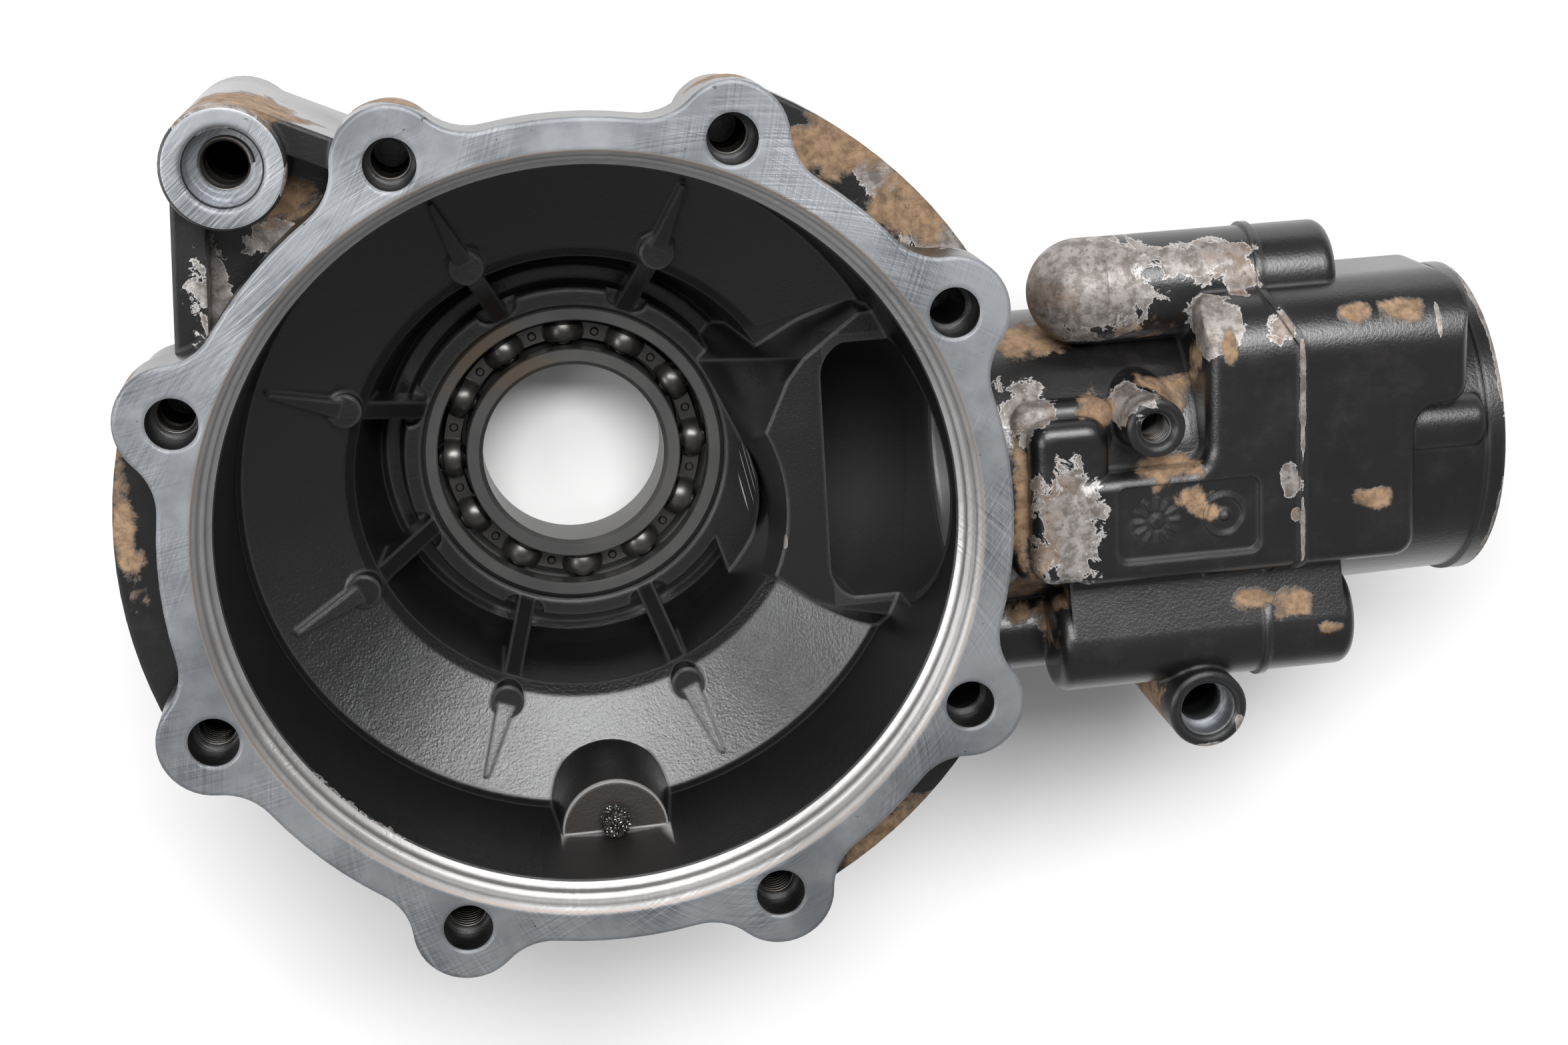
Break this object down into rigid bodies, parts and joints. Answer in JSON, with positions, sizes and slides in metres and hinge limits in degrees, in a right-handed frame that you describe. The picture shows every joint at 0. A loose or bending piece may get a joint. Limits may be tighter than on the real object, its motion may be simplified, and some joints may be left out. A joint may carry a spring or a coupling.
{
  "type": "differential housing",
  "caption": "Cast differential housing: round bowl with a lobed cover flange, pinion neck, frame mount bosses, axle bearing, seal and magnetic drain plug.",
  "frame": {"origin": "centre of the axle bearing in the hub of the bowl", "axes": "+Z along the axle axis out of the open bowl towards the cover, +X along the pinion neck, -Y down when fitted"},
  "size_m": [0.312, 0.1967, 0.112],
  "materials": {
    "black_paint": "satin gloss black paint on cast aluminium, chipped and muddy outside",
    "bearing_steel": "ground bearing steel, oily",
    "ball_steel": "polished",
    "cage_steel": "pressed sheet",
    "seal_rubber": "matt",
    "spring_steel": "wire",
    "plug_steel": "zinc plated",
    "magnet": "magnet with iron dust",
    "washer_alloy": "crush washer"
  },
  "bodies": {
    "casing": {"housing": "black_paint", "bearing_outer_ring": "bearing_steel", "oil_seal": "seal_rubber", "seal_garter_spring": "spring_steel", "drain_plug": "plug_steel", "drain_plug_magnet": "magnet", "drain_washer": "washer_alloy"},
    "inner_race": {"bearing_inner_ring": "bearing_steel"},
    "ball_cage": {"cage_front": "cage_steel", "cage_rear": "cage_steel", "cage_rivets": "cage_steel", "ball_01": "ball_steel", "ball_02": "ball_steel", "ball_03": "ball_steel", "ball_04": "ball_steel", "ball_05": "ball_steel", "ball_06": "ball_steel", "ball_07": "ball_steel", "ball_08": "ball_steel", "ball_09": "ball_steel", "ball_10": "ball_steel", "ball_11": "ball_steel", "ball_12": "ball_steel"}
  },
  "joints": [
    {"name": "bearing_spin", "type": "hinge", "parent": "casing", "child": "inner_race", "pos_m": [0, 0, 0], "axis": [0, 0, 1], "continuous": true},
    {"name": "cage_spin", "type": "hinge", "parent": "casing", "child": "ball_cage", "pos_m": [0, 0, 0], "axis": [0, 0, 1], "continuous": true}
  ],
  "couplings": [
    {"joint": "cage_spin", "follows": "bearing_spin", "ratio": 0.42725}
  ]
}
